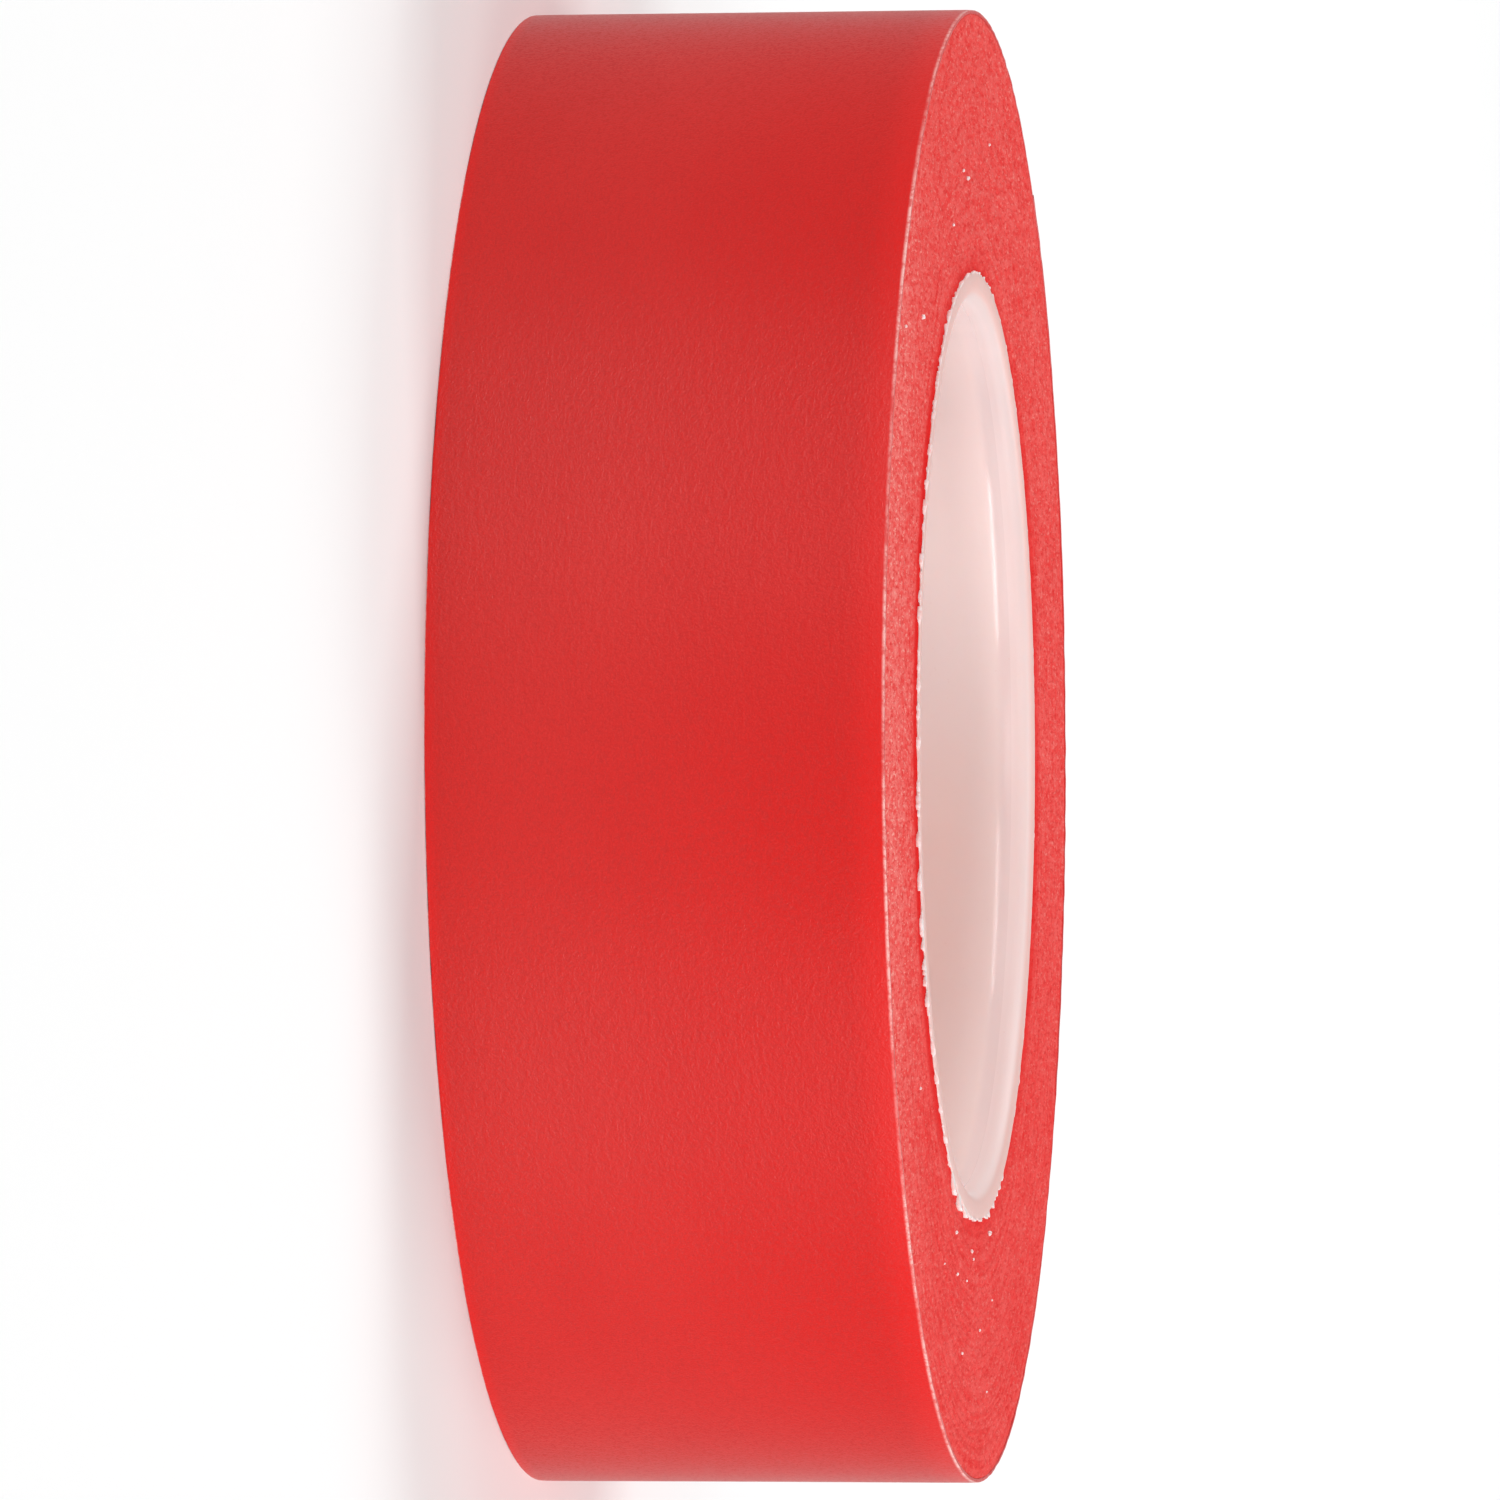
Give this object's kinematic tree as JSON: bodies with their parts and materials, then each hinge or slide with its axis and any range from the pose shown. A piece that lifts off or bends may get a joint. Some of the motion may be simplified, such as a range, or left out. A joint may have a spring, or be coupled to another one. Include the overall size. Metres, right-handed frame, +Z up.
{
  "type": "electrical tape roll",
  "caption": "Roll of narrow vinyl insulating tape on a thin-walled plastic core, lying flat, with a free end that peels off the outside.",
  "frame": {"origin": "centre of the roll's lower edge face, on the axis of the bore, where the roll rests when it lies flat", "axes": "+Z up along the axis of the bore; the strip winds outward counter-clockwise seen from +Z, and its free end is on the +Y side, toward -X"},
  "size_m": [0.0636, 0.0637, 0.019],
  "materials": {
    "pvc_film": "soft red PVC film, calendered, low sheen",
    "adhesive": "clear tacky coat that shows the red film through it",
    "core_plastic": "smooth off-white moulded plastic, slightly translucent"
  },
  "bodies": {
    "roll": {"core": "core_plastic", "tape_wound": "pvc_film"},
    "end_length_1": {"end_film_1": "pvc_film", "end_adhesive_1": "adhesive"},
    "end_length_2": {"end_film_2": "pvc_film", "end_adhesive_2": "adhesive"},
    "end_length_3": {"end_film_3": "pvc_film", "end_adhesive_3": "adhesive"},
    "end_length_4": {"end_film_4": "pvc_film", "end_adhesive_4": "adhesive"}
  },
  "joints": [
    {"name": "peel", "type": "hinge", "parent": "roll", "child": "end_length_1", "pos_m": [0.01583, 0.0276, 0.0095], "axis": [0, 0, -1], "range_deg": [0, 90]},
    {"name": "end_bend_2", "type": "hinge", "parent": "end_length_1", "child": "end_length_2", "pos_m": [0.0053, 0.03141, 0.0095], "axis": [0, 0, -1], "range_deg": [0, 20]},
    {"name": "end_bend_3", "type": "hinge", "parent": "end_length_2", "child": "end_length_3", "pos_m": [-0.0059, 0.03133, 0.0095], "axis": [0, 0, -1], "range_deg": [0, 20]},
    {"name": "end_bend_4", "type": "hinge", "parent": "end_length_3", "child": "end_length_4", "pos_m": [-0.01638, 0.02739, 0.0095], "axis": [0, 0, -1], "range_deg": [0, 20]}
  ],
  "couplings": [
    {"joint": "end_bend_2", "follows": "peel", "ratio": 0.2222},
    {"joint": "end_bend_3", "follows": "peel", "ratio": 0.2222},
    {"joint": "end_bend_4", "follows": "peel", "ratio": 0.2222}
  ]
}
